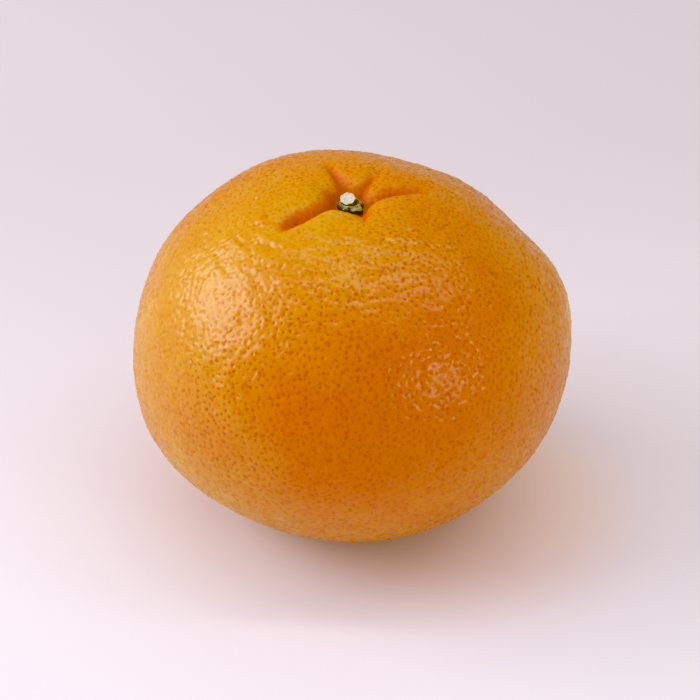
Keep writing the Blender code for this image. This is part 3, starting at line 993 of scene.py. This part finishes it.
def make_stub():
    """The clipped stub, with a ribbed side and a slanted cut."""
    foot = seat_height() + GAP + CUP_FLOOR - STUB_SUNK
    turn = np.arange(STUB_SIDES) * 2.0 * math.pi / STUB_SIDES
    ridges = STUB_RIDGE_HEIGHT * np.cos(STUB_RIDGES * turn)
    rings, cut, core = zip(*(stub_side(foot, turn, ridges) + stub_face(foot, turn, ridges)))
    points = rough_by(np.vstack(rings), STUB_LUMPS)
    ends = ((0.0, 0.0, foot), (STUB_LEAN, 0.0, foot + STUB_HEIGHT - PITH_DEPTH))
    points = np.vstack((points, ends)) + (*STEM_PLACE, 0.0)
    faces = fan_and_bands(len(rings), STUB_SIDES)
    thing = mesh_object("clipped_stub", points, faces, wood_material())
    point_value(thing, "cut", np.append(np.repeat(cut, STUB_SIDES), (0.0, 1.0)))
    point_value(thing, "core", np.append(np.repeat(core, STUB_SIDES), (0.0, 1.0)))
    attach(thing, "root")
    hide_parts("stem_stub")


# Camera, lights, room and floor


def aim(thing, target):
    """Turns a camera or a light towards a place."""
    thing.rotation_euler = (Vector(target) - thing.location).to_track_quat("-Z", "Y").to_euler()


def make_camera():
    """Camera in front of the fruit, above it, where the photo was taken from."""
    data = bpy.data.cameras.new("camera")
    data.lens = CAMERA_LENS
    data.sensor_width = CAMERA_SENSOR
    data.clip_start = CAMERA_CLIP
    data.shift_y = (PRINCIPAL_ROW - PICTURE_WIDTH / 2.0) / PICTURE_WIDTH
    thing = bpy.data.objects.new("camera", data)
    bpy.context.collection.objects.link(thing)
    rise = math.radians(CAMERA_RISE)
    away = Vector((0.0, -math.cos(rise), math.sin(rise))) * CAMERA_DISTANCE
    thing.location = Vector(LOOK_AT) + away
    aim(thing, LOOK_AT)
    bpy.context.scene.camera = thing


def make_light(name, toward, distance, width, height, power, colour):
    """Soft light that shines on the fruit from one direction, and that the camera doesn't see."""
    data = bpy.data.lights.new(name, "AREA")
    data.shape = "RECTANGLE"
    data.size = width
    data.size_y = height
    data.energy = power
    data.color = colour
    thing = bpy.data.objects.new(name, data)
    bpy.context.collection.objects.link(thing)
    thing.location = Vector(toward).normalized() * distance + Vector((0.0, 0.0, CENTRE_HEIGHT))
    aim(thing, (0.0, 0.0, CENTRE_HEIGHT))
    thing.visible_camera = False


def make_room():
    """Light from all round, cool in front and warm behind."""
    world = bpy.data.worlds.new("room")
    bpy.context.scene.world = world
    world.use_nodes = True
    tree = world.node_tree
    backdrop = tree.nodes["Background"]
    parts = tree.nodes.new("ShaderNodeSeparateXYZ")
    join(tree, tree.nodes.new("ShaderNodeTexCoord").outputs["Generated"], parts.inputs[0])
    behind = ramp(tree, parts.outputs["Y"], *ROOM_FADE)
    join(tree, mix_colours(tree, behind, ROOM_FRONT, ROOM_BACK), backdrop.inputs["Color"])
    backdrop.inputs["Strength"].default_value = ROOM_STRENGTH


def make_floor():
    """Pale surface with painted shade towards the back and a warm painted shadow beside the fruit."""
    material, tree, shader = new_material("pale_floor")
    place = tree.nodes.new("ShaderNodeTexCoord")
    parts = tree.nodes.new("ShaderNodeSeparateXYZ")
    join(tree, place.outputs["Object"], parts.inputs[0])
    # Painted shade, darker towards the back
    back_shade = ramp(tree, parts.outputs["Y"], *FLOOR_FADE)
    plain = mix_colours(tree, back_shade, FLOOR_FRONT, FLOOR_BACK_SHADE)
    # Painted shadow beside the fruit, warm from the light that it throws on the floor
    away = ramp(tree, distance_to(tree, WARM_SHADOW_PLACE), *WARM_SHADOW_REACH)
    join(tree, mix_colours(tree, away, FLOOR_WARM_SHADOW, plain), shader.inputs["Base Color"])
    shader.inputs["Roughness"].default_value = FLOOR_ROUGHNESS
    half = FLOOR_HALF
    corners = ((-half, -half, 0.0), (half, -half, 0.0), (half, half, 0.0), (-half, half, 0.0))
    thing = mesh_object("floor", corners, [(0, 1, 2, 3)], material)


def grade_picture():
    """Plain view, with a little blue taken off as in the photo."""
    view = bpy.context.scene.view_settings
    view.view_transform = "Standard"
    view.use_curve_mapping = True
    view.curve_mapping.black_level = BLACK_LEVEL
    view.curve_mapping.update()


noise.seed_set(SEED)
make_camera()
make_rind()
make_calyx()
make_stub()
make_floor()
for light in LIGHTS:
    make_light(*light)
make_room()
grade_picture()
